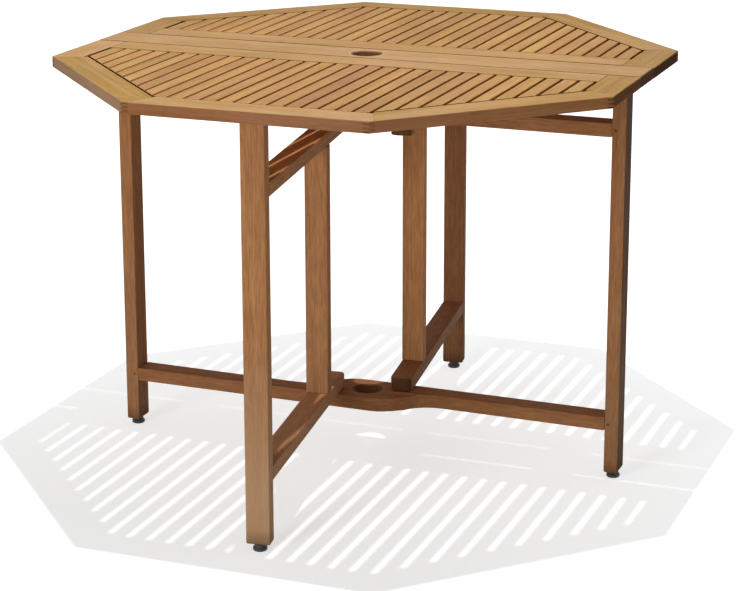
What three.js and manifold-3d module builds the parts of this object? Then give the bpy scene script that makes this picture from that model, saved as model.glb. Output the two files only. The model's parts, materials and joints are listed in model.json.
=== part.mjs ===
// Folding octagonal umbrella table in oiled hardwood. A centre board stands on two main legs that
// an upper and a lower cranked rail join. Two slatted leaves are hinged to the board, and two
// gates swing out on vertical pivots to hold them up. An umbrella pole passes through the board
// and both rails.
//
// Millimetres, +Z up. The origin is on the floor under the centre of the table, X runs along the
// centre board and the front leaf lies towards -Y. The back half is the front half turned by half
// a turn about Z.

import * as THREE from "three";
import { mergeVertices } from "three/addons/utils/BufferGeometryUtils.js";
import Module from "manifold-3d";

const wasm = await Module();
wasm.setup();

// The top
const topLength = 1016;
const topWidth = 1067;
const topHeight = 740;
const topThickness = 20;
const endEdgeLength = 438;
const sideEdgeLength = 420;
const boardWidth = 86;
const seamGap = 3;
const innerRailWidth = 62;
const outerRailWidth = 56;
const slatCount = 31;
const slatGap = 6;
const slatThickness = 12;
const slatEndGap = 2.5;
const topEasing = 1.5;

// The tongues of the slats and of the inner rail, in the groove of the outer rails
const tongueLength = 8;
const tongueThickness = 6;
const tongueSetback = 10;

// The finger joints at the corners of the leaves
const fingerLayers = 6;
const fingerReach = 9;
const fingerRoot = 14;

// The umbrella holes, which are tighter in the rails than in the board
const boardHoleDiameter = 53;
const railHoleDiameter = 48;
const umbrellaHoleFlare = 2.5;

// The stock that the frame and the gates are made of
const frameWidth = 42;
const gateWidth = 41;
const stockThickness = 25;
const stockEasing = 2;
const footEasing = 5;

// The main frame
const legInset = 47;
const laneGap = 2;
const stretcherHeight = 91;
const topRailDrop = 73;
const hubLength = 40;
const shoulderLength = 120;
const stretcherSpread = 7;

// The gates
const gateLegInset = 26;
const gateRestDegrees = 8;
const foldClearance = 7;
const gatePostDistance = 97;
const stubRadius = 12;
const pivotGap = 2;
const pivotPinDiameter = 8;
const pivotPinSeat = 15;
const washerDiameter = 26;

// Blind tenons and the wooden pins through them
const tenonShoulder = 5;
const tenonLength = 14;
const crossPinDiameter = 5;
const crossPinInset = 7;

// The levelling glides
const glideHeight = 12;
const glideDiameter = 24;
const glidePadHeight = 7;
const glideNeckDiameter = 18;
const glideStemDiameter = 8;
const glideStemLength = 22;
const glideRim = 1.5;

// The leaf hinges
const hingeInset = 208;
const hingeLength = 60;
const hingeFlapWidth = 26;
const hingeFlapThickness = 2;
const hingeBarrelDiameter = 6;
const hingePinDiameter = 3;
const hingeKnuckleLength = 15;

// The small black buffers let into the tops of the gate legs
const bufferDepth = 6;
const bufferLength = 18;
const bufferHeight = 8;

// Fits and cutting
const fit = 0.3;
const overrun = 20;
const umbrellaHoleSides = 32;
const roundSides = 24;
const smallRoundSides = 12;
const easingSteps = 2;
const cornerSteps = 3;
const stubSteps = 5;
const shoulderSteps = 10;

// Sizes worked out from the driving dimensions
const boardUnderside = topHeight - topThickness;
const seamOffset = boardWidth / 2 + seamGap;
const laneOffset = (frameWidth + laneGap) / 2;
const laneEdge = laneGap / 2;
const hubEdge = laneEdge + frameWidth;
const legX = topLength / 2 - legInset;
const legInnerX = legX - stockThickness / 2;
const stretcherTop = stretcherHeight + stockThickness;
const topRailTop = boardUnderside - topRailDrop;
const topRailHeight = topRailTop - stockThickness;
const lowerGateRail = stretcherTop + pivotGap;
const upperGateRail = topRailHeight - pivotGap - stockThickness;
const gateRestAngle = THREE.MathUtils.degToRad(gateRestDegrees);
const gateLength = (topWidth / 2 - gateLegInset - laneOffset) / Math.cos(gateRestAngle);
const pivotX = gateLength + stockThickness - legX + foldClearance;
const gateShoulder = gateLength - stockThickness / 2;
const gateLegTop = boardUnderside - fit;
const footTop = glideHeight;

// Turns a geometry into a solid that can be joined and cut
function toSolid(geometry) {
  const bare = geometry.clone();
  bare.deleteAttribute("normal");
  bare.deleteAttribute("uv");
  const merged = mergeVertices(bare);
  const position = merged.attributes.position;
  const vertProperties = new Float32Array(position.array);
  const triVerts = new Uint32Array(merged.index.array);
  const mesh = new wasm.Mesh({ numProp: 3, vertProperties, triVerts });
  mesh.merge();
  return new wasm.Manifold(mesh);
}

// Turns a solid into a geometry with flat-shaded normals
function toGeometry(solid) {
  const mesh = solid.getMesh();
  const geometry = new THREE.BufferGeometry();
  geometry.setAttribute("position", new THREE.BufferAttribute(mesh.vertProperties, 3));
  geometry.setIndex(new THREE.BufferAttribute(mesh.triVerts, 1));
  const flat = geometry.toNonIndexed();
  flat.computeVertexNormals();
  return flat;
}

// A box between two corners
function block(low, high) {
  const size = new THREE.Vector3().subVectors(high, low);
  const geometry = new THREE.BoxGeometry(size.x, size.y, size.z);
  const centre = new THREE.Vector3().addVectors(low, high).divideScalar(2);
  geometry.translate(centre.x, centre.y, centre.z);
  return toSolid(geometry);
}

// An upright prism over a closed outline, with its top and bottom edges eased when asked
function prism(outline, bottom, top, easing = 0, curveSegments = cornerSteps) {
  const shape = outline instanceof THREE.Shape ? outline : new THREE.Shape(outline);
  const geometry = new THREE.ExtrudeGeometry(shape, {
    depth: top - bottom - easing * 2,
    bevelEnabled: easing > 0,
    bevelSize: easing,
    bevelOffset: -easing,
    bevelThickness: easing,
    bevelSegments: easingSteps,
    curveSegments,
  });
  geometry.translate(0, 0, bottom + easing);
  return toSolid(geometry);
}

// A round rod along X, Y or Z between two places on that axis, centred on a point
function rod(diameter, axis, from, to, centre, sides = smallRoundSides) {
  const geometry = new THREE.CylinderGeometry(diameter / 2, diameter / 2, to - from, sides);
  if (axis === "x") geometry.rotateZ(Math.PI / 2);
  if (axis === "z") geometry.rotateX(Math.PI / 2);
  const middle = (from + to) / 2;
  const place = centre.clone();
  place[axis] = middle;
  geometry.translate(place.x, place.y, place.z);
  return toSolid(geometry);
}

// A solid of revolution about Z from a profile of radius and height pairs
function turned(profile, sides = roundSides) {
  const points = profile.map(([radius, height]) => new THREE.Vector2(radius, height));
  return toSolid(new THREE.LatheGeometry(points, sides).rotateX(Math.PI / 2));
}

// A rectangle with round corners as a shape
function roundedRectangle(width, depth, radius) {
  const shape = new THREE.Shape();
  const halfWidth = width / 2;
  const halfDepth = depth / 2;
  const right = halfWidth - radius;
  const back = halfDepth - radius;
  shape.moveTo(-right, -halfDepth);
  shape.lineTo(right, -halfDepth);
  shape.absarc(right, -back, radius, -Math.PI / 2, 0);
  shape.lineTo(halfWidth, back);
  shape.absarc(right, back, radius, 0, Math.PI / 2);
  shape.lineTo(-right, halfDepth);
  shape.absarc(-right, back, radius, Math.PI / 2, Math.PI);
  shape.lineTo(-halfWidth, -back);
  shape.absarc(-right, -back, radius, Math.PI, Math.PI * 3 / 2);
  return shape;
}

// A rectangle with square corners
function rectangle(width, depth) {
  return [
    new THREE.Vector2(-width / 2, -depth / 2),
    new THREE.Vector2(width / 2, -depth / 2),
    new THREE.Vector2(width / 2, depth / 2),
    new THREE.Vector2(-width / 2, depth / 2),
  ];
}

// A straight line in plan
function line(from, to) {
  return { point: from.clone(), direction: to.clone().sub(from).normalize() };
}

// The same line moved to its left, which is into the leaf for the leaf's edges
function movedLeft(edge, distance) {
  const left = new THREE.Vector2(-edge.direction.y, edge.direction.x);
  return { point: edge.point.clone().addScaledVector(left, distance), direction: edge.direction };
}

// The point where two lines meet in plan
function meet(first, second) {
  const across = first.direction.cross(second.direction);
  const along = second.point.clone().sub(first.point).cross(second.direction) / across;
  return first.point.clone().addScaledVector(first.direction, along);
}

// The outer corners of the front leaf, from the left end of the seam round to its right end
const leafCorners = [
  new THREE.Vector2(-topLength / 2, -seamOffset),
  new THREE.Vector2(-topLength / 2, -endEdgeLength / 2),
  new THREE.Vector2(-sideEdgeLength / 2, -topWidth / 2),
  new THREE.Vector2(sideEdgeLength / 2, -topWidth / 2),
  new THREE.Vector2(topLength / 2, -endEdgeLength / 2),
  new THREE.Vector2(topLength / 2, -seamOffset),
];

// The five outer edges of the front leaf, moved inwards by an inset
function leafEdges(inset) {
  const edges = [];
  for (let index = 0; index < leafCorners.length - 1; index += 1) {
    edges.push(movedLeft(line(leafCorners[index], leafCorners[index + 1]), inset));
  }
  return edges;
}

// A line along the seam, at a distance from the centre of the table
function seamLine(distance) {
  return { point: new THREE.Vector2(0, -distance), direction: new THREE.Vector2(1, 0) };
}

// The outline of the front leaf inside an inset, as far as a distance from the centre
function leafOutline(inset, distance = seamOffset) {
  const edges = leafEdges(inset);
  const seam = seamLine(distance);
  const points = [meet(edges[0], seam)];
  for (let index = 1; index < edges.length; index += 1) {
    points.push(meet(edges[index - 1], edges[index]));
  }
  points.push(meet(edges[edges.length - 1], seam));
  return points;
}

// The mitre between two rails, moved along the rails by a shift
function mitreLine(cornerIndex, shift) {
  const outer = leafOutline(0)[cornerIndex];
  const inner = leafOutline(outerRailWidth)[cornerIndex];
  return movedLeft(line(outer, inner), -shift);
}

// The part of an outer rail between two cutting lines
function railOutline(railIndex, start, end) {
  const outer = leafEdges(0)[railIndex];
  const inner = leafEdges(outerRailWidth)[railIndex];
  return [meet(outer, start), meet(outer, end), meet(inner, end), meet(inner, start)];
}

const leafBlank = prism(leafOutline(0), boardUnderside, topHeight, topEasing);
const tongueMiddle = topHeight - slatThickness / 2;
const tongueBottom = tongueMiddle - tongueThickness / 2;
const tongueTop = tongueMiddle + tongueThickness / 2;

// The groove in the inner edges of the outer rails
function tongueGroove() {
  const outline = leafOutline(outerRailWidth - tongueLength - fit, seamOffset + tongueSetback - fit);
  return prism(outline, tongueBottom - fit, tongueTop + fit);
}

// The fingers at one end of a rail. The earlier rail at a corner has the even layers.
function railFingers(railIndex, cornerIndex) {
  const earlier = cornerIndex > railIndex;
  const outward = earlier ? 1 : -1;
  const tip = mitreLine(cornerIndex, outward * (fingerReach - fit / 2));
  const root = mitreLine(cornerIndex, -outward * fingerRoot);
  const outline = railOutline(railIndex, root, tip);
  const layer = topThickness / fingerLayers;
  const fingers = [];
  for (let index = earlier ? 0 : 1; index < fingerLayers; index += 2) {
    const top = topHeight - index * layer - (index > 0 ? fit / 2 : 0);
    const last = index === fingerLayers - 1;
    const bottom = topHeight - (index + 1) * layer + (last ? 0 : fit / 2);
    fingers.push(prism(outline, bottom, top));
  }
  return fingers;
}

// One outer rail of the front leaf, fingered where it meets its neighbours
function outerRail(railIndex) {
  const recess = fingerReach + fit / 2;
  const first = railIndex === 0;
  const last = railIndex === leafCorners.length - 2;
  const start = first ? seamLine(seamOffset) : mitreLine(railIndex, recess);
  const end = last ? seamLine(seamOffset) : mitreLine(railIndex + 1, -recess);
  const fingers = [
    ...(first ? [] : railFingers(railIndex, railIndex)),
    ...(last ? [] : railFingers(railIndex, railIndex + 1)),
  ];
  let rail = prism(railOutline(railIndex, start, end), boardUnderside, topHeight);
  for (const finger of fingers) {
    rail = rail.add(finger);
  }
  return rail.intersect(leafBlank).subtract(tongueGroove());
}

// The slats and the inner rail of a leaf, as one comb whose ends are tongued
function slatComb() {
  const fieldWidth = topLength - outerRailWidth * 2;
  const slatWidth = (fieldWidth - slatGap * (slatCount + 1)) / slatCount;
  const slatUnderside = topHeight - slatThickness;
  const railEdge = seamOffset + innerRailWidth;
  const innerRail = block(
    new THREE.Vector3(-topLength / 2, -railEdge, boardUnderside),
    new THREE.Vector3(topLength / 2, -seamOffset, topHeight),
  );
  let slats = null;
  for (let index = 0; index < slatCount; index += 1) {
    const left = -fieldWidth / 2 + slatGap + index * (slatWidth + slatGap);
    const slat = block(
      new THREE.Vector3(left, -topWidth / 2, slatUnderside),
      new THREE.Vector3(left + slatWidth, -seamOffset - innerRailWidth / 2, topHeight),
    );
    slats = slats ? slats.add(slat) : slat;
  }
  const slatOutline = leafOutline(outerRailWidth + slatEndGap, railEdge + slatEndGap);
  const slatField = prism(slatOutline, boardUnderside, topHeight);
  const railField = prism(leafOutline(outerRailWidth + fit), boardUnderside, topHeight);
  const tongueOutline = leafOutline(outerRailWidth - tongueLength, seamOffset + tongueSetback);
  const tongueField = prism(tongueOutline, tongueBottom, tongueTop);
  const body = slats.intersect(slatField).add(innerRail.intersect(railField));
  const tongues = slats.add(innerRail).intersect(tongueField);
  return body.add(tongues).intersect(leafBlank);
}

// The centre board with its umbrella hole and the mortises for the main legs
function centreBoard() {
  let board = prism(rectangle(topLength, boardWidth), boardUnderside, topHeight, topEasing);
  board = board.subtract(umbrellaCutter(boardHoleDiameter, boardUnderside, topHeight));
  for (const side of [-1, 1]) {
    board = board.subtract(legTenon(side, fit));
  }
  return board;
}

// A cutter for an umbrella hole, flared at its upper rim
function umbrellaCutter(diameter, bottom, top) {
  const radius = diameter / 2;
  return turned([
    [0, bottom - overrun],
    [radius, bottom - overrun],
    [radius, top - umbrellaHoleFlare],
    [radius + umbrellaHoleFlare, top],
    [radius + umbrellaHoleFlare, top + overrun],
    [0, top + overrun],
  ], umbrellaHoleSides);
}

// Half the thickness and half the width of a tenon, grown by a margin for its mortise
const halfTenonThickness = (margin) => stockThickness / 2 - tenonShoulder + margin;
const halfTenonWidth = (width, margin) => width / 2 - tenonShoulder + margin;

// The tenon on top of a main leg, grown by a margin when it cuts the mortise
function legTenon(side, margin) {
  const x = side * legX;
  const y = side * laneOffset;
  const halfThickness = halfTenonThickness(margin);
  const halfWidth = halfTenonWidth(frameWidth, margin);
  const top = boardUnderside + topThickness / 2 + margin;
  return block(
    new THREE.Vector3(x - halfThickness, y - halfWidth, boardUnderside - overrun),
    new THREE.Vector3(x + halfThickness, y + halfWidth, top),
  );
}

// The tenon at one end of a main rail, grown by a margin when it cuts the mortise
function railTenon(side, railHeight, margin) {
  const y = side * laneOffset;
  const middle = railHeight + stockThickness / 2;
  const halfThickness = halfTenonThickness(margin);
  const halfWidth = halfTenonWidth(frameWidth, margin);
  const from = side * (legInnerX - fit - stockEasing);
  const to = side * (legInnerX + tenonLength + margin);
  return block(
    new THREE.Vector3(Math.min(from, to), y - halfWidth, middle - halfThickness),
    new THREE.Vector3(Math.max(from, to), y + halfWidth, middle + halfThickness),
  );
}

// The wooden pin through a main leg and the tenon in it
function crossPin(side, railHeight, margin) {
  const x = side * (legInnerX + crossPinInset);
  const centre = new THREE.Vector3(x, 0, railHeight + stockThickness / 2);
  const reach = frameWidth / 2 + (margin > 0 ? overrun : 0);
  const middle = side * laneOffset;
  return rod(crossPinDiameter + margin * 2, "y", middle - reach, middle + reach, centre);
}

// Upright stock with rounded long edges and an eased foot, centred in plan
function post(bottom, top, thickness, width) {
  const section = roundedRectangle(thickness, width, stockEasing);
  const eased = prism(rectangle(thickness, width), bottom, top + overrun, footEasing);
  return prism(section, bottom, top).intersect(eased);
}

// The hole for a glide's stem in the foot of a leg
function stemHole(x, y) {
  const centre = new THREE.Vector3(x, y, 0);
  const top = footTop + glideStemLength + fit;
  return rod(glideStemDiameter + fit * 2, "z", footTop - overrun, top, centre);
}

// A main leg, mortised for both rails, with its tenon in the board
function mainLeg(side) {
  const x = side * legX;
  const y = side * laneOffset;
  const body = post(footTop, boardUnderside - fit, stockThickness, frameWidth).translate([x, y, 0]);
  let leg = body.add(legTenon(side, 0));
  for (const railHeight of [stretcherHeight, topRailHeight]) {
    leg = leg.subtract(railTenon(side, railHeight, fit));
    leg = leg.subtract(crossPin(side, railHeight, fit));
  }
  return leg.subtract(stemHole(x, y));
}

// The plan of a main rail: two arms in their own lanes and a wide hub between them, which the
// arms can spread a little further apart towards
function crankedOutline(spread) {
  const end = legInnerX - fit;
  const hub = hubLength / 2;
  const bend = hub + shoulderLength / 2;
  const arm = hub + shoulderLength;
  const outer = hubEdge + spread;
  const inner = laneEdge + spread;
  const shape = new THREE.Shape();
  shape.moveTo(-end, -hubEdge);
  shape.lineTo(hub, -outer);
  shape.bezierCurveTo(bend, -outer, bend, inner, arm, inner);
  shape.lineTo(end, laneEdge);
  shape.lineTo(end, hubEdge);
  shape.lineTo(-hub, outer);
  shape.bezierCurveTo(-bend, outer, -bend, -inner, -arm, -inner);
  shape.lineTo(-end, -laneEdge);
  return shape;
}

// A main rail at a height, with its tenons, the umbrella hole and the seats of the pivot pins
function mainRail(railHeight, spread, pinFrom, pinTo) {
  const railTop = railHeight + stockThickness;
  let rail = prism(crankedOutline(spread), railHeight, railTop, stockEasing, shoulderSteps);
  for (const side of [-1, 1]) {
    rail = rail.add(railTenon(side, railHeight, 0));
    rail = rail.subtract(crossPin(side, railHeight, fit));
    rail = rail.subtract(pivotPin(side, pinFrom, pinTo, fit));
  }
  return rail.subtract(umbrellaCutter(railHoleDiameter, railHeight, railTop));
}

// A pivot pin in the frame, or its hole when grown by a margin
function pivotPin(side, from, to, margin) {
  const centre = new THREE.Vector3(side * pivotX, side * laneOffset, 0);
  return rod(pivotPinDiameter + margin * 2, "z", from - margin, to + margin, centre);
}

// A flat ring round a pivot pin, between a rail of the frame and a rail of a gate
function pivotWasher(bottom) {
  const inner = pivotPinDiameter / 2 + fit;
  const outer = washerDiameter / 2;
  const top = bottom + pivotGap - fit * 2;
  return turned([[inner, bottom], [outer, bottom], [outer, top], [inner, top], [inner, bottom]]);
}

// The plan of a gate rail from its round-cornered stub to the gate leg, along +X from the pivot
function gateRailOutline() {
  const half = gateWidth / 2;
  const corner = half - stubRadius;
  const end = gateShoulder - fit;
  const shape = new THREE.Shape();
  shape.moveTo(end, -half);
  shape.lineTo(end, half);
  shape.lineTo(-corner, half);
  shape.absarc(-corner, corner, stubRadius, Math.PI / 2, Math.PI);
  shape.lineTo(-half, -corner);
  shape.absarc(-corner, -corner, stubRadius, Math.PI, Math.PI * 3 / 2);
  return shape;
}

// The tenon of a gate rail in the gate leg, grown by a margin when it cuts the mortise
function gateRailTenon(railHeight, margin) {
  const middle = railHeight + stockThickness / 2;
  const halfThickness = halfTenonThickness(margin);
  const halfWidth = halfTenonWidth(gateWidth, margin);
  const from = gateShoulder - fit - stockEasing;
  const to = gateShoulder + tenonLength + margin;
  return block(
    new THREE.Vector3(from, -halfWidth, middle - halfThickness),
    new THREE.Vector3(to, halfWidth, middle + halfThickness),
  );
}

// The tenons of the inner post of a gate, grown by a margin when they cut the mortises
function postTenons(margin) {
  const halfThickness = halfTenonThickness(margin);
  const halfWidth = halfTenonWidth(gateWidth, margin);
  const bottom = lowerGateRail + stockThickness - tenonLength - margin;
  const top = upperGateRail + tenonLength + margin;
  return block(
    new THREE.Vector3(gatePostDistance - halfThickness, -halfWidth, bottom),
    new THREE.Vector3(gatePostDistance + halfThickness, halfWidth, top),
  );
}

// A gate rail at a height, bored for its pivot pin and mortised for the inner post
function gateRail(railHeight, holeFrom, holeTo) {
  const centre = new THREE.Vector3(0, 0, 0);
  const railTop = railHeight + stockThickness;
  const rail = prism(gateRailOutline(), railHeight, railTop, stockEasing, stubSteps);
  const hole = rod(pivotPinDiameter + fit * 2, "z", holeFrom, holeTo, centre);
  return rail.add(gateRailTenon(railHeight, 0)).subtract(hole).subtract(postTenons(fit));
}

// The outer leg of a gate, mortised for both gate rails
function gateLeg() {
  let leg = post(footTop, gateLegTop, stockThickness, gateWidth).translate([gateLength, 0, 0]);
  for (const railHeight of [lowerGateRail, upperGateRail]) {
    leg = leg.subtract(gateRailTenon(railHeight, fit));
  }
  return leg.subtract(bufferSeat()).subtract(stemHole(gateLength, 0));
}

// The notch for the buffer in the top of a gate leg, open at the top and at the side
function bufferSeat() {
  const side = gateWidth / 2;
  const halfLength = bufferLength / 2 + fit;
  const notchFloor = gateLegTop - bufferHeight - fit;
  return block(
    new THREE.Vector3(gateLength - halfLength, side - bufferDepth - fit, notchFloor),
    new THREE.Vector3(gateLength + halfLength, side + overrun, gateLegTop + overrun),
  );
}

// The inner post of a gate, tenoned into both gate rails
function gatePost() {
  const bottom = lowerGateRail + stockThickness + fit;
  const top = upperGateRail - fit;
  const section = roundedRectangle(stockThickness, gateWidth, stockEasing);
  const body = prism(section, bottom, top).translate([gatePostDistance, 0, 0]);
  return body.add(postTenons(0));
}

// A buffer in the top of a gate leg, flush with the side that leads when the gate folds in
function gateBuffer() {
  const side = gateWidth / 2;
  const halfLength = bufferLength / 2;
  return block(
    new THREE.Vector3(gateLength - halfLength, side - bufferDepth, gateLegTop - bufferHeight),
    new THREE.Vector3(gateLength + halfLength, side, gateLegTop),
  );
}

// A levelling glide: a round pad, a neck and a stem that turns in the foot of a leg
function glide() {
  const pad = glideDiameter / 2;
  const neck = glideNeckDiameter / 2;
  const stem = glideStemDiameter / 2;
  const neckFoot = (glidePadHeight + glideHeight) / 2;
  const seat = glideHeight - fit;
  return turned([
    [0, 0],
    [pad - glideRim, 0],
    [pad, glideRim],
    [pad, glidePadHeight - glideRim],
    [(pad + neck) / 2, glidePadHeight],
    [neck, neckFoot],
    [neck, seat],
    [stem, seat],
    [stem, footTop + glideStemLength],
    [0, footTop + glideStemLength],
  ], roundSides);
}

// The axis of the leaf hinges, under the middle of the front seam
const hingeAxisY = -(boardWidth + seamGap) / 2;
const hingeAxisZ = boardUnderside - fit - hingeBarrelDiameter / 2;

// One flap of a leaf hinge with its knuckles, centred on X. The board flap has the outer two.
function hingeFlap(onBoard) {
  const towards = onBoard ? 1 : -1;
  const half = hingeLength / 2;
  const knuckles = onBoard
    ? [[-half, -hingeKnuckleLength - fit], [hingeKnuckleLength + fit, half]]
    : [[-hingeKnuckleLength, hingeKnuckleLength]];
  const axis = new THREE.Vector3(0, hingeAxisY, hingeAxisZ);
  const top = boardUnderside - fit;
  const clear = hingeBarrelDiameter / 2 + fit * 2;
  const slab = (from, to, near, far) => {
    const ends = [hingeAxisY + towards * near, hingeAxisY + towards * far];
    return block(
      new THREE.Vector3(from, Math.min(...ends), top - hingeFlapThickness),
      new THREE.Vector3(to, Math.max(...ends), top),
    );
  };
  let flap = slab(-half, half, clear, hingeFlapWidth);
  for (const [from, to] of knuckles) {
    flap = flap.add(slab(from, to, 0, clear + hingeFlapThickness));
    flap = flap.add(rod(hingeBarrelDiameter, "x", from, to, axis));
  }
  const bore = rod(hingePinDiameter + fit * 2, "x", -half - overrun, half + overrun, axis);
  return flap.subtract(bore);
}

// The pin of a leaf hinge
function hingePin() {
  const axis = new THREE.Vector3(0, hingeAxisY, hingeAxisZ);
  return rod(hingePinDiameter, "x", -hingeLength / 2, hingeLength / 2, axis);
}

// Materials
function oiledWood(color) {
  return new THREE.MeshStandardMaterial({ color, roughness: 0.55, metalness: 0 });
}

function zincSteel() {
  return new THREE.MeshStandardMaterial({ color: "#9a9b98", roughness: 0.35, metalness: 1 });
}

function blackPlastic() {
  return new THREE.MeshStandardMaterial({ color: "#17181a", roughness: 0.6, metalness: 0 });
}

const boardWood = () => oiledWood("#b98a58");
const railWood = () => oiledWood("#b4814f");
const slatWood = () => oiledWood("#bb9059");
const frameWood = () => oiledWood("#8f5c3c");

// Adds a solid to a group as a named mesh
function addPart(group, name, solid, material) {
  const mesh = new THREE.Mesh(toGeometry(solid), material);
  mesh.name = name;
  group.add(mesh);
  return mesh;
}

// A leaf: its comb of slats and five outer rails, in a half of the table
function addLeaf(half, name) {
  const railNames = ["left_end", "left_corner", "outer", "right_corner", "right_end"];
  addPart(half, `${name}_leaf_slats`, slatComb(), slatWood());
  railNames.forEach((place, index) => {
    addPart(half, `${name}_leaf_${place}_rail`, outerRail(index), railWood());
  });
}

// The two hinges of a leaf, in a half of the table
function addHinges(half, name) {
  for (const [place, side] of [["left", -1], ["right", 1]]) {
    const hinge = new THREE.Group();
    hinge.position.x = side * (topLength / 2 - hingeInset);
    addPart(hinge, `${name}_${place}_hinge_board_flap`, hingeFlap(true), zincSteel());
    addPart(hinge, `${name}_${place}_hinge_leaf_flap`, hingeFlap(false), zincSteel());
    addPart(hinge, `${name}_${place}_hinge_pin`, hingePin(), zincSteel());
    half.add(hinge);
  }
}

// A gate, built along +X from its pivot and swung out under its leaf
function addGate(half, name) {
  const gate = new THREE.Group();
  gate.position.set(-pivotX, -laneOffset, 0);
  gate.rotation.z = gateRestAngle - Math.PI / 2;
  const lowerHole = lowerGateRail + pivotPinSeat + fit;
  const upperHole = upperGateRail + stockThickness - pivotPinSeat - fit;
  const upperTop = upperGateRail + stockThickness;
  const lowerRail = gateRail(lowerGateRail, lowerGateRail - overrun, lowerHole);
  const upperRail = gateRail(upperGateRail, upperHole, upperTop + overrun);
  addPart(gate, `${name}_gate_lower_rail`, lowerRail, frameWood());
  addPart(gate, `${name}_gate_upper_rail`, upperRail, frameWood());
  addPart(gate, `${name}_gate_leg`, gateLeg(), frameWood());
  addPart(gate, `${name}_gate_post`, gatePost(), frameWood());
  addPart(gate, `${name}_gate_buffer`, gateBuffer(), blackPlastic());
  const foot = addPart(gate, `${name}_gate_glide`, glide(), blackPlastic());
  foot.position.x = gateLength;
  half.add(gate);
}

// The pivot pins and washers that carry a gate, in a half of the table
function addPivots(half, name) {
  const lowerPin = [stretcherTop - pivotPinSeat, lowerGateRail + pivotPinSeat];
  const upperPin = [upperGateRail + stockThickness - pivotPinSeat, topRailHeight + pivotPinSeat];
  for (const [place, [from, to]] of [["lower", lowerPin], ["upper", upperPin]]) {
    addPart(half, `${name}_${place}_pivot_pin`, pivotPin(-1, from, to, 0), zincSteel());
  }
  const gapFloors = [["lower", stretcherTop], ["upper", topRailHeight - pivotGap]];
  for (const [place, floor] of gapFloors) {
    const ring = pivotWasher(floor + fit);
    const washer = addPart(half, `${name}_${place}_pivot_washer`, ring, blackPlastic());
    washer.position.set(-pivotX, -laneOffset, 0);
  }
}

// The board, the main legs, both rails and what joins them
function addFrame(table) {
  const stretcherPin = [stretcherTop - pivotPinSeat, stretcherTop + overrun];
  const topRailPin = [topRailHeight - overrun, topRailHeight + pivotPinSeat];
  addPart(table, "center_board", centreBoard(), boardWood());
  addPart(table, "lower_stretcher", mainRail(stretcherHeight, stretcherSpread, ...stretcherPin), frameWood());
  addPart(table, "top_rail", mainRail(topRailHeight, 0, ...topRailPin), frameWood());
  for (const [name, side] of [["left", -1], ["right", 1]]) {
    addPart(table, `${name}_main_leg`, mainLeg(side), frameWood());
    addPart(table, `${name}_lower_cross_pin`, crossPin(side, stretcherHeight, 0), frameWood());
    addPart(table, `${name}_upper_cross_pin`, crossPin(side, topRailHeight, 0), frameWood());
    const foot = addPart(table, `${name}_main_glide`, glide(), blackPlastic());
    foot.position.set(side * legX, side * laneOffset, 0);
  }
}

const table = new THREE.Group();
addFrame(table);
for (const [name, turn] of [["front", 0], ["back", Math.PI]]) {
  const half = new THREE.Group();
  half.rotation.z = turn;
  addLeaf(half, name);
  addHinges(half, name);
  addGate(half, name);
  addPivots(half, name);
  table.add(half);
}

export default table;
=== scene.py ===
"""Looks of the folding umbrella table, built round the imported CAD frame: oiled wood with its
grain, black plastic glides and buffers, zinc-plated hinges, and a pale floor under two lamps, a
small one high above the table and a wide one in front of it."""

import json
import math
import random
from collections import namedtuple

import bmesh
import bpy
from mathutils import Matrix, Vector

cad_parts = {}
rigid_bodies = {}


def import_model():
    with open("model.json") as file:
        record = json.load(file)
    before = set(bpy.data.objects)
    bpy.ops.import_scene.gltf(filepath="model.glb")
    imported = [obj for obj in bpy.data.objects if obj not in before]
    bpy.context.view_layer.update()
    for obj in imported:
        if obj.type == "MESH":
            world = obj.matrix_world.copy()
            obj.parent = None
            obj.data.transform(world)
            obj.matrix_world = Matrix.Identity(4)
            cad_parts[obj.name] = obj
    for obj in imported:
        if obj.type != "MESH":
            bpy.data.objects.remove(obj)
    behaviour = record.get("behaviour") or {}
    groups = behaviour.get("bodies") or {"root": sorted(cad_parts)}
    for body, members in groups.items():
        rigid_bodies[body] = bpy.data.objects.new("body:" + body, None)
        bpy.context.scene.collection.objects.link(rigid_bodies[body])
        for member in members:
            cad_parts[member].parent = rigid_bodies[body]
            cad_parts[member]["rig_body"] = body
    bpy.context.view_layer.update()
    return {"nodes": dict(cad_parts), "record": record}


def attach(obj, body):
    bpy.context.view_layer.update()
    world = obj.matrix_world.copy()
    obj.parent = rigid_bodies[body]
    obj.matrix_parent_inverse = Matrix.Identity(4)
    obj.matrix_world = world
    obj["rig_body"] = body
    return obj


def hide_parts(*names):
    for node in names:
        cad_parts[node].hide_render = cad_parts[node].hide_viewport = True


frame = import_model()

MM = 0.001
SEED = 11
UNIT = (0, 1)
X_AXIS = Vector((1, 0, 0))
Y_AXIS = Vector((0, 1, 0))
Z_AXIS = Vector((0, 0, 1))
FRONT = Matrix.Identity(3)
BACK = Matrix.Rotation(math.pi, 3, "Z")

# The camera, as solved from the photograph
CAMERA_AZIMUTH = math.radians(21.07)
CAMERA_ELEVATION = math.radians(14.64)
CAMERA_ROLL = math.radians(-0.09)
CAMERA_DISTANCE = 4.0496
CAMERA_TARGET = Vector((0.0101, 0, 0.4346))
CAMERA_LENS = 108.81
CAMERA_SENSOR = 36
CAMERA_SHIFT_Y = -0.1

# The lamps. The small one above draws the shadow of the slats, the wide one in front fills it.
OVERHEAD_PLACE = Vector((0.08, -0.24, 3.62))
OVERHEAD_TARGET = Vector((0, 0, 0))
OVERHEAD_SIZE = 0.05
OVERHEAD_POWER = 65
OVERHEAD_COLOR = (1.0, 0.97, 0.93)
SIDE_PLACE = Vector((-1.2, -4.6, 1.1))
SIDE_TARGET = Vector((0, 0, 0.4))
SIDE_SIZE = 1.8
SIDE_POWER = 74
SIDE_COLOR = (1.0, 0.97, 0.94)

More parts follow.
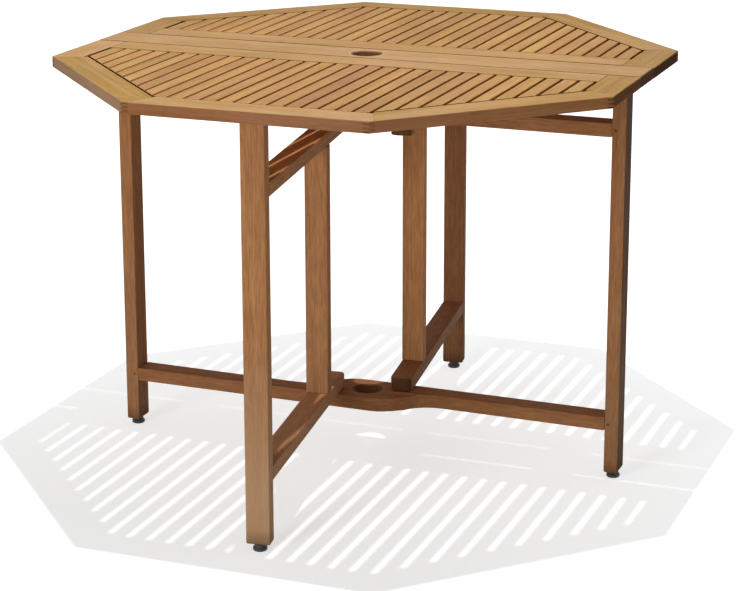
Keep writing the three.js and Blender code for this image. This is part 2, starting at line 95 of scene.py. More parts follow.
# The sky and the floor. The clouds darken the floor a little, and the glow is what it adds for
# whoever looks at it, near the centre of the glow and far from it.
SKY_STRENGTH = 0.20
FLOOR_WIDTH = 60
FLOOR_COLOR = (0.88, 0.95, 0.985)
FLOOR_CLOUD_SCALE = 3
FLOOR_CLOUD_DETAIL = 4
FLOOR_CLOUD_SHADE = 0.94
GLOW_CENTER = (-0.1, -0.9, 0)
GLOW_NEAR = 0.555
GLOW_FAR = 1.0
GLOW_NEAR_REACH = 0.5
GLOW_FAR_REACH = 3.2

# The leaves and the gates, as the CAD model has them. Only beside the slanting rails do the slats
# end a little sooner, because the dark line there is bolder in the photograph.
TOP_HEIGHT = 740 * MM
TOP_LENGTH = 1016 * MM
TOP_WIDTH = 1067 * MM
TOP_THICKNESS = 20 * MM
END_EDGE = 438 * MM
SIDE_EDGE = 420 * MM
SEAM = 46 * MM
BOARD_HOLE = 53 * MM
INNER_RAIL = 62 * MM
OUTER_RAIL = 56 * MM
SLAT_COUNT = 31
SLAT_GAP = 6 * MM
SLAT_THICKNESS = 12 * MM
SLAT_END_GAP = 2.5 * MM
SLANT_GAP = 4.2 * MM
TONGUE_LENGTH = 8 * MM
TONGUE_THICKNESS = 6 * MM
RAIL_BUTT_GAP = 0.3 * MM
GATE_ANGLE = math.radians(8)

# Before the rounding, vertices of a CAD mesh that are this close are merged, and faces that meet
# at less than this angle become one
MERGE_DISTANCE = 0.01 * MM
FLAT_ANGLE = math.radians(1)

# Rounding of the edges. A face whose normal has a cosine between the two of SLANTWISE to the grain
# belongs to a mitre or a finger, and its edges stay sharp. Shading is smooth up to the last angle.
SLAT_ROUNDING = 1.0 * MM
RAIL_ROUNDING = 0.8 * MM
PIN_ROUNDING = 0.3 * MM
ROUNDING_SEGMENTS = 2
ROUND_PROFILE = 0.5
SHARP_ANGLE = math.radians(30)
SLANTWISE = (0.5, 0.97)
SMOOTH_ANGLE = math.radians(50)

# How the faces of a piece are told apart, by cosines of their normals: the end grain, the outer
# side that faces away from the middle of the table, the inner sides, the steep faces and the steep
# worn edges. RIM_REACH is how far round the umbrella hole its rim goes, and a piece whose own
# middle is within CENTRAL_REACH of the hole has no outer side.
END_FACING = 0.6
OUTER_FACING = 0.9
INNER_FACING = 0.3
STEEP = 0.3
WORN_STEEP = 0.95
RIM_REACH = 3.5 * MM
CENTRAL_REACH = 300 * MM

# The woods: the two colours of the figure, the blush that the tone of a piece leads to, the
# painted side tint, which is painted light and shade on the upright faces (the sides of the top
# darker and redder than its lit upper face, the sides of the slats lightened as painted light in
# the gaps), how strong the flecks are, and the gloss
Wood = namedtuple("Wood", "slot pale dark blush flank fleck gloss")
TOP_WOOD = Wood(
    slot="top_wood",
    pale=(0.475, 0.297, 0.102),
    dark=(0.385, 0.220, 0.065),
    blush=(0.573, 0.355, 0.199),
    flank=(0.89, 0.63, 0.61),
    fleck=0.04,
    gloss=0.003,
)
SLAT_WOOD = Wood(
    slot="slat_wood",
    pale=(0.602, 0.381, 0.153),
    dark=(0.508, 0.294, 0.107),
    blush=(0.489, 0.268, 0.133),
    flank=(1.28, 1.04, 0.93),
    fleck=0.05,
    gloss=0.003,
)
FRAME_WOOD = Wood(
    slot="frame_wood",
    pale=(0.525, 0.252, 0.104),
    dark=(0.400, 0.174, 0.066),
    blush=(0.430, 0.186, 0.087),
    flank=(1.0, 1.0, 1.0),
    fleck=0.12,
    gloss=0.02,
)
# The grey that an outer side turns to, and the painted reflection of the bright floor that the
# wood takes on near the floor
GREY = (0.36, 0.27, 0.20)
FLOOR_SHEEN_COLOR = (0.62, 0.40, 0.24)

# The figure of the wood, as noise: how many marks there are in a metre along and across the grain,
# and the values of the noise between which they come up
Figure = namedtuple("Figure", "along across detail limits distortion", defaults=(0.0,))
BANDS = Figure(along=1.6, across=42, detail=3, limits=(0.36, 0.66), distortion=0.6)
FIBRES = Figure(along=9, across=620, detail=3, limits=(0.3, 0.75))
PORES = Figure(along=38, across=1900, detail=2, limits=(0.60, 0.70))
CLOUDS = Figure(along=5, across=9, detail=2, limits=(0.3, 0.7))
PATCHES = Figure(along=4, across=22, detail=2, limits=(0.35, 0.65))
FLECKS = Figure(along=34, across=300, detail=2, limits=(0.35, 0.65))

# How far from zero the grain coordinates of a piece may start, along the grain and across it
GRAIN_STARTS = (50, 5, 5)

# What the marks do to the brightness of the wood, to how far it blushes and to its surface
FIBRE_SHADES = (1.09, 0.86)
CLOUD_SHADES = (0.91, 1.08)
PORE_SHADES = (1.0, 0.66)
WORN_SHADES = (1.0, 1.10)
GREY_SHADES = (1.1, 0.9)
BLUSH_SHARE = 0.85
BLUSH_PATCHES = (-0.2, 0.2)
WOOD_ROUGHNESS = (0.50, 0.66)
FIBRE_RELIEF = -0.5
PORE_RELIEF = -1.0
RELIEF_DEPTH = 0.4 * MM
RELIEF_STRENGTH = 0.35

# Near the floor the wood takes on a painted reflection of the bright floor, and the ends of the
# legs are darkened as painted shade: these reaches are heights.
# Round the umbrella hole the wall and the foot of the flare are darkened as painted shade and the
# rim is pale: these reaches are distances from the axis of the hole.
FLOOR_SHEEN_REACH = (380 * MM, 90 * MM)
FOOT_SHADE_REACH = (16 * MM, 40 * MM)
FOOT_SHADE_FACTORS = (0.6, 1.0)
FLARE_REACH = (28.3 * MM, 28.8 * MM)
FLARE_SHADES = (0.55, 1.22)
RIM_FADE_REACH = (28.8 * MM, 34.0 * MM)
RIM_FADE_SHADES = (1.0, 0.82)

# How a piece looks: how far the blush goes in it and how bright it is beside the others, which is
# partly tone that differs from piece to piece and partly painted light and shade. Then, beside the
# rest of it, how bright its outer side, its inner sides and its end grain are, where the outer and
# inner sides are painted light and shade and the end grain is partly darker of itself and partly
# painted shade, how far its outer side is turned grey, and how much painted reflection of the
# bright floor it takes on near the floor. The sides that the pieces of the top turn to each other
# are darkened as painted shade between the parts.
Look = namedtuple("Look", "tone shade outer inner end grey fade")
TOP_LOOK = Look(tone=0.25, shade=1.04, outer=1.0, inner=0.4, end=0.62, grey=0.0, fade=0.0)
INNER_RAIL_LOOK = TOP_LOOK._replace(tone=0.55, shade=1.12)
# The end grain of the slats and their tongues are darkened as painted shade in the gaps at the
# slat ends
SLAT_LOOK = TOP_LOOK._replace(inner=1.0, end=0.12)
SLAT_USUAL_TONE = 0.3
SLAT_SHADES = (0.99, 1.10)
TONGUE_SHADE = 0.15
FRAME_LOOK = Look(tone=0.4, shade=0.95, outer=1.0, inner=1.0, end=0.4, grey=0.0, fade=0.12)
PLAIN_LOOKS = {"top_wood": TOP_LOOK, "frame_wood": FRAME_LOOK}
# The shades, outer sides and ends of the pieces below are partly tone that differs from piece to
# piece and partly painted light and shade, such as the painted shade on the outer sides at the
# right and on the back gate leg under the top
PIECE_LOOKS = {
    "center_board": TOP_LOOK._replace(tone=0.85, shade=1.09, end=0.27),
    "front_leaf_left_end_rail": TOP_LOOK._replace(tone=0.80, shade=1.22),
    "front_leaf_left_corner_rail": TOP_LOOK._replace(tone=0.20, shade=1.08, outer=1.12, grey=0.6),
    "front_leaf_outer_rail": TOP_LOOK._replace(tone=0.60, shade=1.14, outer=0.73),
    "front_leaf_right_corner_rail": TOP_LOOK._replace(tone=0.40, shade=1.15, outer=0.86),
    "front_leaf_right_end_rail": TOP_LOOK._replace(tone=0.15, shade=1.03, outer=0.45),
    "back_leaf_left_end_rail": TOP_LOOK._replace(tone=0.40, shade=0.98, outer=0.20),
    "back_leaf_left_corner_rail": TOP_LOOK._replace(tone=0.40),
    "left_main_leg": FRAME_LOOK._replace(tone=0.35, shade=0.95),
    "right_main_leg": FRAME_LOOK._replace(tone=0.55, shade=0.88, outer=0.30),
    "lower_stretcher": FRAME_LOOK._replace(tone=0.60, shade=0.90, end=1.0, fade=0.0),
    "top_rail": FRAME_LOOK._replace(tone=0.50, shade=0.85, end=1.0),
    "front_gate_leg": FRAME_LOOK._replace(tone=0.15, shade=1.05, fade=0.60),
    "front_gate_post": FRAME_LOOK._replace(tone=0.50, shade=1.0),
    "front_gate_lower_rail": FRAME_LOOK._replace(tone=0.60, shade=1.18, fade=0.3),
    "back_gate_leg": FRAME_LOOK._replace(tone=0.60, shade=0.67, fade=0.0),
    "back_gate_post": FRAME_LOOK._replace(tone=0.30, shade=1.28),
    "back_gate_lower_rail": FRAME_LOOK._replace(tone=0.70, shade=0.82, end=0.32, fade=0.0),
}

# The plastic and the steel: the two ends of their mottle in colour and in roughness, the scale and
# the detail of the mottle, and how deep the fine grain of the surface is
Finish = namedtuple("Finish", "colors roughness scale detail metallic grain_depth")
FINISHES = {
    "black_plastic": Finish(
        colors=((0.016, 0.016, 0.017), (0.055, 0.055, 0.056)), roughness=(0.42, 0.62),
        scale=60, detail=4, metallic=0.0, grain_depth=0.2 * MM),
    "zinc_steel": Finish(
        colors=((0.45, 0.45, 0.43), (0.68, 0.68, 0.66)), roughness=(0.28, 0.48),
        scale=160, detail=3, metallic=1.0, grain_depth=0),
}
FINE_GRAIN_SCALE = 900
FINE_GRAIN_DETAIL = 2
FINE_GRAIN_STRENGTH = 0.25


def set_camera():
    """The camera on a sphere round its target, rolled a little and shifted like the photograph."""
    outward = Vector((
        math.sin(CAMERA_AZIMUTH) * math.cos(CAMERA_ELEVATION),
        -math.cos(CAMERA_AZIMUTH) * math.cos(CAMERA_ELEVATION),
        math.sin(CAMERA_ELEVATION),
    ))
    right = Vector((math.cos(CAMERA_AZIMUTH), math.sin(CAMERA_AZIMUTH), 0))
    up = outward.cross(right)
    turn = Matrix.Rotation(CAMERA_ROLL, 3, outward)
    right = turn @ right
    up = turn @ up
    data = bpy.data.cameras.new("camera")
    data.sensor_width = CAMERA_SENSOR
    data.lens = CAMERA_LENS
    data.shift_y = CAMERA_SHIFT_Y
    camera = bpy.data.objects.new("camera", data)
    pose = Matrix((right, up, outward)).transposed().to_4x4()
    pose.translation = CAMERA_TARGET + outward * CAMERA_DISTANCE
    camera.matrix_world = pose
    bpy.context.scene.collection.objects.link(camera)
    bpy.context.scene.camera = camera


def add_lamp(name, place, target, size, power, color):
    """A round lamp that shines from its place towards a target."""
    data = bpy.data.lights.new(name, "AREA")
    data.shape = "DISK"
    data.size = size
    data.energy = power
    data.color = color
    lamp = bpy.data.objects.new(name, data)
    lamp.location = place
    lamp.rotation_euler = (target - place).to_track_quat("-Z", "Y").to_euler()
    bpy.context.scene.collection.objects.link(lamp)


# Nodes

def node_adder(tree):
    """A function that adds a node to a tree, with values for its properties and its inputs."""
    def add(kind, **values):
        node = tree.nodes.new(kind)
        for key, value in values.items():
            if hasattr(node, key):
                setattr(node, key, value)
            else:
                node.inputs[key.replace("_", " ")].default_value = value
        return node

    return add


def new_material(name):
    """An empty node material, with a function that adds nodes to it and one that links them."""
    material = bpy.data.materials.new(name)
    material.use_nodes = True
    tree = material.node_tree
    tree.nodes.clear()
    return material, node_adder(tree), tree.links.new


def seen_directly(add, link):
    """A value of 1 for what the camera sees, also in mirrors and through glass, and else of 0."""
    path = add("ShaderNodeLightPath")
    looked = add("ShaderNodeMath", operation="MAXIMUM")
    seen = add("ShaderNodeMath", operation="MAXIMUM")
    link(path.outputs["Is Camera Ray"], looked.inputs[0])
    link(path.outputs["Is Glossy Ray"], looked.inputs[1])
    link(looked.outputs["Value"], seen.inputs[0])
    link(path.outputs["Is Transmission Ray"], seen.inputs[1])
    return seen.outputs["Value"]


# The stage

def floor_material():
    """A pale, faintly clouded material. Where it is seen directly it also glows, near the table
    just enough to be white where the lamp falls on it, and more further out."""
    material, add, link = new_material("floor")
    cloudy = add("ShaderNodeTexNoise", Scale=FLOOR_CLOUD_SCALE, Detail=FLOOR_CLOUD_DETAIL)
    shade = add("ShaderNodeMapRange", To_Min=FLOOR_CLOUD_SHADE, To_Max=1.0)
    colour = add("ShaderNodeMixRGB", blend_type="MULTIPLY", Fac=1.0, Color1=(*FLOOR_COLOR, 1))
    diffuse = add("ShaderNodeBsdfDiffuse")
    glow = add("ShaderNodeEmission", Color=(1, 1, 1, 1))
    place = add("ShaderNodeNewGeometry")
    reach = add("ShaderNodeVectorMath", operation="DISTANCE")
    reach.inputs[1].default_value = GLOW_CENTER
    spread = add("ShaderNodeMapRange", From_Min=GLOW_NEAR_REACH, From_Max=GLOW_FAR_REACH,
                 To_Min=GLOW_NEAR, To_Max=GLOW_FAR)
    strength = add("ShaderNodeMath", operation="MULTIPLY")
    both = add("ShaderNodeAddShader")
    output = add("ShaderNodeOutputMaterial")
    link(cloudy.outputs["Fac"], shade.inputs["Value"])
    link(shade.outputs["Result"], colour.inputs["Color2"])
    link(colour.outputs["Color"], diffuse.inputs["Color"])
    link(place.outputs["Position"], reach.inputs[0])
    link(reach.outputs["Value"], spread.inputs["Value"])
    link(seen_directly(add, link), strength.inputs[0])
    link(spread.outputs["Result"], strength.inputs[1])
    link(strength.outputs["Value"], glow.inputs["Strength"])
    link(diffuse.outputs["BSDF"], both.inputs[0])
    link(glow.outputs["Emission"], both.inputs[1])
    link(both.outputs["Shader"], output.inputs["Surface"])
    return material


def make_floor():
    """A wide floor that keeps the shadow."""
    half = FLOOR_WIDTH / 2
    mesh = bpy.data.meshes.new("floor")
    corners = [(-half, -half, 0), (half, -half, 0), (half, half, 0), (-half, half, 0)]
    mesh.from_pydata(corners, [], [(0, 1, 2, 3)])
    mesh.materials.append(floor_material())
    floor = bpy.data.objects.new("floor", mesh)
    bpy.context.scene.collection.objects.link(floor)


def make_sky():
    """An even, soft white light from all round, and plain white where it is seen directly."""
    world = bpy.data.worlds.new("sky")
    bpy.context.scene.world = world
    world.use_nodes = True
    tree = world.node_tree
    add = node_adder(tree)
    link = tree.links.new
    background = tree.nodes["Background"]
    background.inputs["Color"].default_value = (1, 1, 1, 1)
    strength = add("ShaderNodeMapRange", To_Min=SKY_STRENGTH, To_Max=1.0)
    link(seen_directly(add, link), strength.inputs["Value"])
    link(strength.outputs["Result"], background.inputs["Strength"])


# Wood. Each piece carries its own coordinates along and across the grain, and each of its faces
# carries its tone and its shade, which is partly painted light and shade, and marks for grey wood,
# for painted reflection of the floor, for upright faces and for worn edges.

def wood_material(wood):
    """Oiled hardwood: broad bands, fine fibres and short pores along the grain, clouds, patches
    and flecks, and edges rubbed a little paler, with painted light and shade on its sides, a
    painted reflection of the floor near it, and painted shade at the ends of the legs and in the
    umbrella hole."""
    material, add, link = new_material(wood.slot)

    def attribute(kind, output="Fac"):
        return add("ShaderNodeAttribute", attribute_name=kind).outputs[output]

    def math_node(operation, first, second=0):
        node = add("ShaderNodeMath", operation=operation)
        for socket, value in zip(node.inputs, (first, second)):
            if isinstance(value, (int, float)):
                socket.default_value = value
            else:
                link(value, socket)
        return node.outputs["Value"]

    def mapped(value, limits, results):
        node = add("ShaderNodeMapRange", From_Min=limits[0], From_Max=limits[1],
                   To_Min=results[0], To_Max=results[1])
        link(value, node.inputs["Value"])
        return node.outputs["Result"]

    def marks(figure, results=UNIT):
        stretched = add("ShaderNodeMapping", vector_type="POINT")
        stretched.inputs["Scale"].default_value = (figure.along, figure.across, figure.across)
        link(attribute("grain", "Vector"), stretched.inputs["Vector"])
        noise = add("ShaderNodeTexNoise", Scale=1.0, Detail=figure.detail,
                    Distortion=figure.distortion)
        link(stretched.outputs["Vector"], noise.inputs["Vector"])
        return mapped(noise.outputs["Fac"], figure.limits, results)

    def mix(factor, first, second, kind="MIX"):
        node = add("ShaderNodeMixRGB", blend_type=kind)
        for socket, value in zip(node.inputs, (factor, first, second)):
            if isinstance(value, (int, float)):
                socket.default_value = value
            elif isinstance(value, tuple):
                socket.default_value = (*value, 1)
            else:
                link(value, socket)
        return node.outputs["Color"]

    def times(first, second):
        return mix(1.0, first, second, "MULTIPLY")

    fibres = marks(FIBRES)
    pores = marks(PORES)
    blushing = math_node("ADD", math_node("MULTIPLY", attribute("tone"), BLUSH_SHARE),
                         marks(PATCHES, BLUSH_PATCHES))
    colour = mix(blushing, mix(marks(BANDS), wood.pale, wood.dark), wood.blush)
    colour = times(colour, mapped(fibres, UNIT, FIBRE_SHADES))
    colour = times(colour, marks(FLECKS, (1 - wood.fleck, 1 + wood.fleck)))
    colour = times(colour, marks(CLOUDS, CLOUD_SHADES))
    colour = times(colour, mapped(pores, UNIT, PORE_SHADES))
    colour = times(colour, attribute("shade"))
    colour = times(colour, mapped(attribute("worn"), UNIT, WORN_SHADES))
    # The painted side tint: painted light and shade on the upright faces and the steep worn edges
    colour = mix(attribute("upright"), colour, times(colour, wood.flank))
    colour = mix(attribute("grey"), colour, times(GREY, mapped(fibres, UNIT, GREY_SHADES)))

    place = add("ShaderNodeSeparateXYZ")
    link(add("ShaderNodeTexCoord").outputs["Object"], place.inputs["Vector"])
    x, y, above_floor = place.outputs
    from_axis = math_node("SQRT", math_node("ADD", math_node("MULTIPLY", x, x),
                                            math_node("MULTIPLY", y, y)))
    # Painted reflection of the bright floor near the floor, and painted shade at the ends of the
    # legs
    floor_sheen_share = math_node("MULTIPLY", mapped(above_floor, FLOOR_SHEEN_REACH, UNIT), attribute("fade"))
    colour = mix(floor_sheen_share, colour, FLOOR_SHEEN_COLOR)
    colour = times(colour, mapped(above_floor, FOOT_SHADE_REACH, FOOT_SHADE_FACTORS))
    # Painted shade on the wall and the foot of the flare of the umbrella hole, and its pale rim
    colour = times(colour, mapped(from_axis, FLARE_REACH, FLARE_SHADES))
    colour = times(colour, mapped(from_axis, RIM_FADE_REACH, RIM_FADE_SHADES))

    relief = math_node("ADD", math_node("MULTIPLY", fibres, FIBRE_RELIEF),
                       math_node("MULTIPLY", pores, PORE_RELIEF))
    bump = add("ShaderNodeBump", Strength=RELIEF_STRENGTH, Distance=RELIEF_DEPTH)
    shader = add("ShaderNodeBsdfPrincipled", Specular_IOR_Level=wood.gloss)
    output = add("ShaderNodeOutputMaterial")
    link(relief, bump.inputs["Height"])
    link(colour, shader.inputs["Base Color"])
    link(mapped(fibres, UNIT, WOOD_ROUGHNESS), shader.inputs["Roughness"])
    link(bump.outputs["Normal"], shader.inputs["Normal"])
    link(shader.outputs["BSDF"], output.inputs["Surface"])
    return material


def face_marks(mesh, along, look, worn_faces):
    """The marks of the faces of a piece, each as its name and as a function of the face."""
    middle = sum((vertex.co for vertex in mesh.vertices), Vector()) / len(mesh.vertices)
    outward = Vector((middle.x, middle.y, 0))
    if outward.length < CENTRAL_REACH:
        outward.zero()
    outward.normalize()

    def near_hole(face):
        return math.hypot(face.center.x, face.center.y) < BOARD_HOLE / 2 + RIM_REACH

    def outer(face):
        return face.normal.dot(outward) > OUTER_FACING

    def steep(face):
        edge = face.index in worn_faces and not near_hole(face)
        return abs(face.normal.z) < (WORN_STEEP if edge else STEEP)

    # The shade of a face: painted light and shade on the outer side, painted shade on the inner
    # sides between the parts, and end grain that is partly darker of itself and partly painted
    # shade
    def shade(face):
        if near_hole(face):
            return look.shade
        if abs(face.normal.dot(along)) > END_FACING:
            return look.shade * look.end
        if outer(face):
            return look.shade * look.outer
        inner = steep(face) and face.normal.dot(outward) < INNER_FACING
        return look.shade * look.inner if inner else look.shade

    return {
        "tone": lambda face: look.tone,
        "shade": shade,
        "grey": lambda face: look.grey * outer(face),
        "fade": lambda face: look.fade,
        "upright": lambda face: face.normal.z < STEEP or steep(face),
        "worn": lambda face: face.index in worn_faces,
    }


def set_grain(mesh, along, across, look, worn_faces):
    """Writes a piece's grain coordinates and the marks of its faces to its mesh. The grain
    coordinates start at a random place, so that no two boards share a figure."""
    along = along.normalized()
    side = across - along * across.dot(along)
    side.normalize()
    other = along.cross(side)
    start = Vector([random.uniform(-reach, reach) for reach in GRAIN_STARTS])
    grain = mesh.attributes.new("grain", "FLOAT_VECTOR", "POINT")
    for vertex in mesh.vertices:
        place = Vector((vertex.co.dot(along), vertex.co.dot(side), vertex.co.dot(other)))
        grain.data[vertex.index].vector = place + start
    for name, mark in face_marks(mesh, along, look, worn_faces).items():
        layer = mesh.attributes.new(name, "FLOAT", "FACE")
        for face in mesh.polygons:
            layer.data[face.index].value = float(mark(face))


def soften(shape, rounding, along):
    """Rounds the sharp edges of a bmesh, and returns the indices of the new faces. The edges of
    mitres and of finger joints, whose faces lie slantwise across the grain, stay sharp."""
    def slantwise(face):
        return SLANTWISE[0] < abs(face.normal.dot(along)) < SLANTWISE[1]

    def wanted(edge):
        if len(edge.link_faces) != 2 or edge.calc_face_angle() < SHARP_ANGLE:
            return False
        return not any(slantwise(face) for face in edge.link_faces)

    edges = [edge for edge in shape.edges if wanted(edge)]
    made = bmesh.ops.bevel(shape, geom=edges, offset=rounding, segments=ROUNDING_SEGMENTS,
                           profile=ROUND_PROFILE, affect="EDGES", clamp_overlap=True)
    shape.faces.ensure_lookup_table()
    shape.faces.index_update()
    return {face.index for face in made["faces"]}


def grained_mesh(name, shape, rounding, along, across, look):
    """A rounded and grained mesh from a bmesh, which is used up."""
    worn_faces = soften(shape, rounding, along.normalized()) if rounding else ()
    mesh = bpy.data.meshes.new(name)
    shape.to_mesh(mesh)
    shape.free()
    set_grain(mesh, along, across, look, worn_faces)
    return mesh


# Pieces

def add_piece(name, mesh, body, node, material):
    """Puts a mesh in the scene as a piece that rides on a body and replaces a CAD node."""
    mesh.materials.append(material)
    for face in mesh.polygons:
        face.use_smooth = True
        face.material_index = 0
    mesh.set_sharp_from_angle(angle=SMOOTH_ANGLE)
    piece = bpy.data.objects.new(name, mesh)
    bpy.context.scene.collection.objects.link(piece)
    weighted = piece.modifiers.new("weighted normals", "WEIGHTED_NORMAL")
    weighted.keep_sharp = True
    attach(piece, body)
    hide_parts(node)


def dress_wood(node, along, across, slot, material, rounding=RAIL_ROUNDING):
    """Replaces a wooden CAD node by a copy of its own shape with rounded edges and wood grain."""
    source = frame["nodes"][node]
    shape = bmesh.new()
    shape.from_mesh(source.data)
    bmesh.ops.remove_doubles(shape, verts=shape.verts, dist=MERGE_DISTANCE)
    bmesh.ops.dissolve_limit(shape, angle_limit=FLAT_ANGLE, verts=shape.verts, edges=shape.edges)
    look = PIECE_LOOKS.get(node, PLAIN_LOOKS[slot])
    mesh = grained_mesh(node + "_wood", shape, rounding, along, across, look)
    add_piece(node + "_wood", mesh, source["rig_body"], node, material)


def slat_outline(left, right, start, inset, corner_inset):
    """The plan of a front slat between two places on X, from its start to the edge of the field,
    which lies inside the insets from the outer edge of the leaf and from its slanting edges."""
    slope = (TOP_WIDTH - END_EDGE) / (TOP_LENGTH - SIDE_EDGE)
    end = TOP_WIDTH / 2 - inset
    at_tip = END_EDGE / 2 - corner_inset * math.hypot(1, slope)
    corner = TOP_LENGTH / 2 - (end - at_tip) / slope

    def reach(x):
        return min(end, at_tip + (TOP_LENGTH / 2 - abs(x)) * slope)

    ends = [right] + [x for x in (corner, -corner) if left < x < right] + [left]
    return [(left, -start), (right, -start)] + [(x, -reach(x)) for x in ends]


def upright_prism(outline, bottom, top, half):
    """A prism over an outline in the front half, turned to its half of the table."""
    shape = bmesh.new()
    low = [shape.verts.new(half @ Vector((x, y, bottom))) for x, y in outline]
    high = [shape.verts.new(half @ Vector((x, y, top))) for x, y in outline]
    count = len(outline)
    shape.faces.new(list(reversed(low)))
    shape.faces.new(high)
    for index in range(count):
        after = (index + 1) % count
        shape.faces.new((low[index], low[after], high[after], high[index]))
    bmesh.ops.recalc_face_normals(shape, faces=shape.faces)
    return shape


def joined(meshes, name):
    """One mesh from several, which are used up."""
    whole = bmesh.new()
    for mesh in meshes:
        whole.from_mesh(mesh)
        bpy.data.meshes.remove(mesh)
    result = bpy.data.meshes.new(name)
    whole.to_mesh(result)
    whole.free()
    return result


def slat_meshes(left, right, half):
    """A slat between two places on X, and the tongue through it that shows in the gaps at its
    ends, darkened there as painted shade. The slat has a tone and a shade of its own."""
    look = SLAT_LOOK._replace(tone=random.triangular(0, 1, SLAT_USUAL_TONE),
                              shade=random.uniform(*SLAT_SHADES))
    plan = slat_outline(left, right, SEAM + INNER_RAIL + SLAT_END_GAP,
                        OUTER_RAIL + SLAT_END_GAP, OUTER_RAIL + SLANT_GAP)
    plank = upright_prism(plan, TOP_HEIGHT - SLAT_THICKNESS, TOP_HEIGHT, half)
    seat = OUTER_RAIL - TONGUE_LENGTH
    middle = TOP_HEIGHT - SLAT_THICKNESS / 2
    plan = slat_outline(left, right, SEAM + INNER_RAIL / 2, seat, seat)
    tongue = upright_prism(plan, middle - TONGUE_THICKNESS / 2, middle + TONGUE_THICKNESS / 2,
                           half)
    painted_shade_look = look._replace(shade=TONGUE_SHADE)
    return [grained_mesh("slat", plank, SLAT_ROUNDING, Y_AXIS, Z_AXIS, look),
            grained_mesh("tongue", tongue, 0, Y_AXIS, Z_AXIS, painted_shade_look)]


def make_slats(name, half, material):
    """The slats of a leaf, as one piece."""
    field = TOP_LENGTH - 2 * OUTER_RAIL
    width = (field - SLAT_GAP * (SLAT_COUNT + 1)) / SLAT_COUNT
    meshes = []
    for index in range(SLAT_COUNT):
        left = -field / 2 + SLAT_GAP + index * (width + SLAT_GAP)
        meshes += slat_meshes(left, left + width, half)
    mesh = joined(meshes, name + "_slats")
    add_piece(name + "_slats", mesh, name + "_leaf", name + "_leaf_slats", material)


def make_inner_rail(name, half, material):
    """The rail along the seam that the slats of a leaf end in. The CAD model has it in one node
    with the slats, so it replaces that node too."""
    end = TOP_LENGTH / 2 - OUTER_RAIL - RAIL_BUTT_GAP
    plan = [(-end, -SEAM - INNER_RAIL), (end, -SEAM - INNER_RAIL), (end, -SEAM), (-end, -SEAM)]
    plank = upright_prism(plan, TOP_HEIGHT - TOP_THICKNESS, TOP_HEIGHT, half)
    mesh = grained_mesh(name + "_inner_rail", plank, RAIL_ROUNDING, X_AXIS, Z_AXIS,
                        INNER_RAIL_LOOK)
    add_piece(name + "_inner_rail", mesh, name + "_leaf", name + "_leaf_slats",
              material)


def make_leaf(name, half, top_wood, slat_wood):
    """A leaf: its slats, its inner rail and the five rails of its edge."""
    make_slats(name, half, slat_wood)
    make_inner_rail(name, half, top_wood)
    slanting = Vector((TOP_LENGTH - SIDE_EDGE, TOP_WIDTH - END_EDGE, 0))
    mirrored = Vector((-slanting.x, slanting.y, 0))
    rails = {"left_end": Y_AXIS, "left_corner": mirrored, "outer": X_AXIS,
             "right_corner": slanting, "right_end": Y_AXIS}
    for place, along in rails.items():
        dress_wood(f"{name}_leaf_{place}_rail", along, Z_AXIS, "top_wood", top_wood)


def make_frame(frame_wood, top_wood):
    """The centre board, the two cranked rails, and the main legs with their cross pins."""
    dress_wood("center_board", X_AXIS, Z_AXIS, "top_wood", top_wood)
    for node in ("top_rail", "lower_stretcher"):
        dress_wood(node, X_AXIS, Z_AXIS, "frame_wood", frame_wood)
    for side in ("left", "right"):
        dress_wood(f"{side}_main_leg", Z_AXIS, Y_AXIS, "frame_wood", frame_wood)
        for place in ("lower", "upper"):
            dress_wood(f"{side}_{place}_cross_pin", Y_AXIS, X_AXIS, "frame_wood", frame_wood,
                       PIN_ROUNDING)


def make_gate(name, half, frame_wood):
    """The two rails, the leg and the post of a gate."""
    reach = half @ Vector((math.sin(GATE_ANGLE), -math.cos(GATE_ANGLE), 0))
    across = reach.cross(Z_AXIS)
    for place in ("lower_rail", "upper_rail"):
        dress_wood(f"{name}_gate_{place}", reach, Z_AXIS, "frame_wood", frame_wood)
    for place in ("leg", "post"):
        dress_wood(f"{name}_gate_{place}", Z_AXIS, across, "frame_wood", frame_wood)


# Plastic and steel

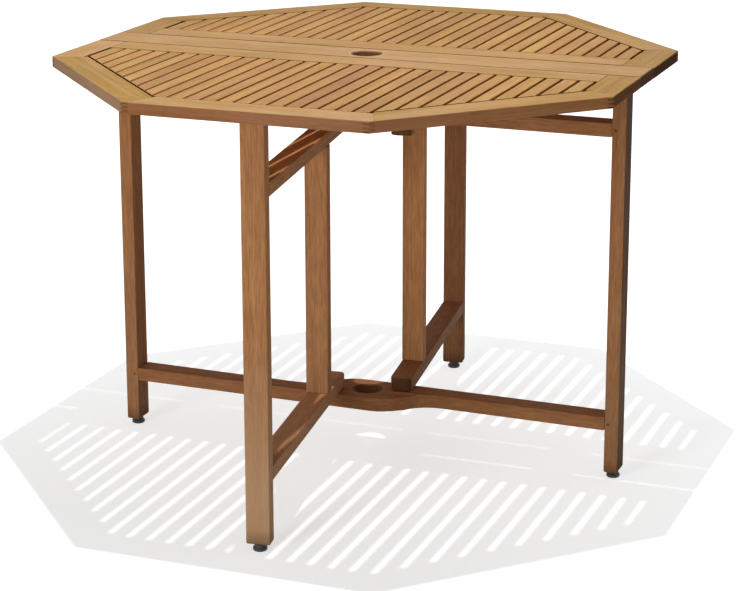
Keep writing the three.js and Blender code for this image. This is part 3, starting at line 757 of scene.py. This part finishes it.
def mottled_material(name, finish):
    """A material with a faint mottle in its colour and its roughness, and with a fine grain where
    this has a depth."""
    material, add, link = new_material(name)
    place = add("ShaderNodeTexCoord").outputs["Object"]
    mottle = add("ShaderNodeTexNoise", Scale=finish.scale, Detail=finish.detail)
    colour = add("ShaderNodeValToRGB")
    for element, color in zip(colour.color_ramp.elements, finish.colors):
        element.color = (*color, 1)
    roughness = add("ShaderNodeMapRange", To_Min=finish.roughness[0], To_Max=finish.roughness[1])
    shader = add("ShaderNodeBsdfPrincipled", Metallic=finish.metallic)
    output = add("ShaderNodeOutputMaterial")
    link(place, mottle.inputs["Vector"])
    link(mottle.outputs["Fac"], colour.inputs["Fac"])
    link(mottle.outputs["Fac"], roughness.inputs["Value"])
    link(colour.outputs["Color"], shader.inputs["Base Color"])
    link(roughness.outputs["Result"], shader.inputs["Roughness"])
    link(shader.outputs["BSDF"], output.inputs["Surface"])
    if finish.grain_depth:
        grain = add("ShaderNodeTexNoise", Scale=FINE_GRAIN_SCALE, Detail=FINE_GRAIN_DETAIL)
        bump = add("ShaderNodeBump", Strength=FINE_GRAIN_STRENGTH, Distance=finish.grain_depth)
        link(place, grain.inputs["Vector"])
        link(grain.outputs["Fac"], bump.inputs["Height"])
        link(bump.outputs["Normal"], shader.inputs["Normal"])
    return material


def finish_cad_nodes():
    """Better materials for the CAD nodes that stay as they are: the plastic and steel pieces."""
    materials = {name: mottled_material(name, finish) for name, finish in FINISHES.items()}
    for entry in frame["record"]["subparts"]:
        material = materials.get(entry["material_slot"])
        if material:
            for slot in frame["nodes"][entry["node"]].material_slots:
                slot.material = material


bpy.context.scene.view_settings.view_transform = "Standard"
random.seed(SEED)
set_camera()
make_floor()
make_sky()
add_lamp("overhead lamp", OVERHEAD_PLACE, OVERHEAD_TARGET, OVERHEAD_SIZE, OVERHEAD_POWER,
         OVERHEAD_COLOR)
add_lamp("side lamp", SIDE_PLACE, SIDE_TARGET, SIDE_SIZE, SIDE_POWER, SIDE_COLOR)
top_wood = wood_material(TOP_WOOD)
slat_wood = wood_material(SLAT_WOOD)
frame_wood = wood_material(FRAME_WOOD)
make_frame(frame_wood, top_wood)
for name, half in (("front", FRONT), ("back", BACK)):
    make_leaf(name, half, top_wood, slat_wood)
    make_gate(name, half, frame_wood)
finish_cad_nodes()

bpy.context.view_layer.update()
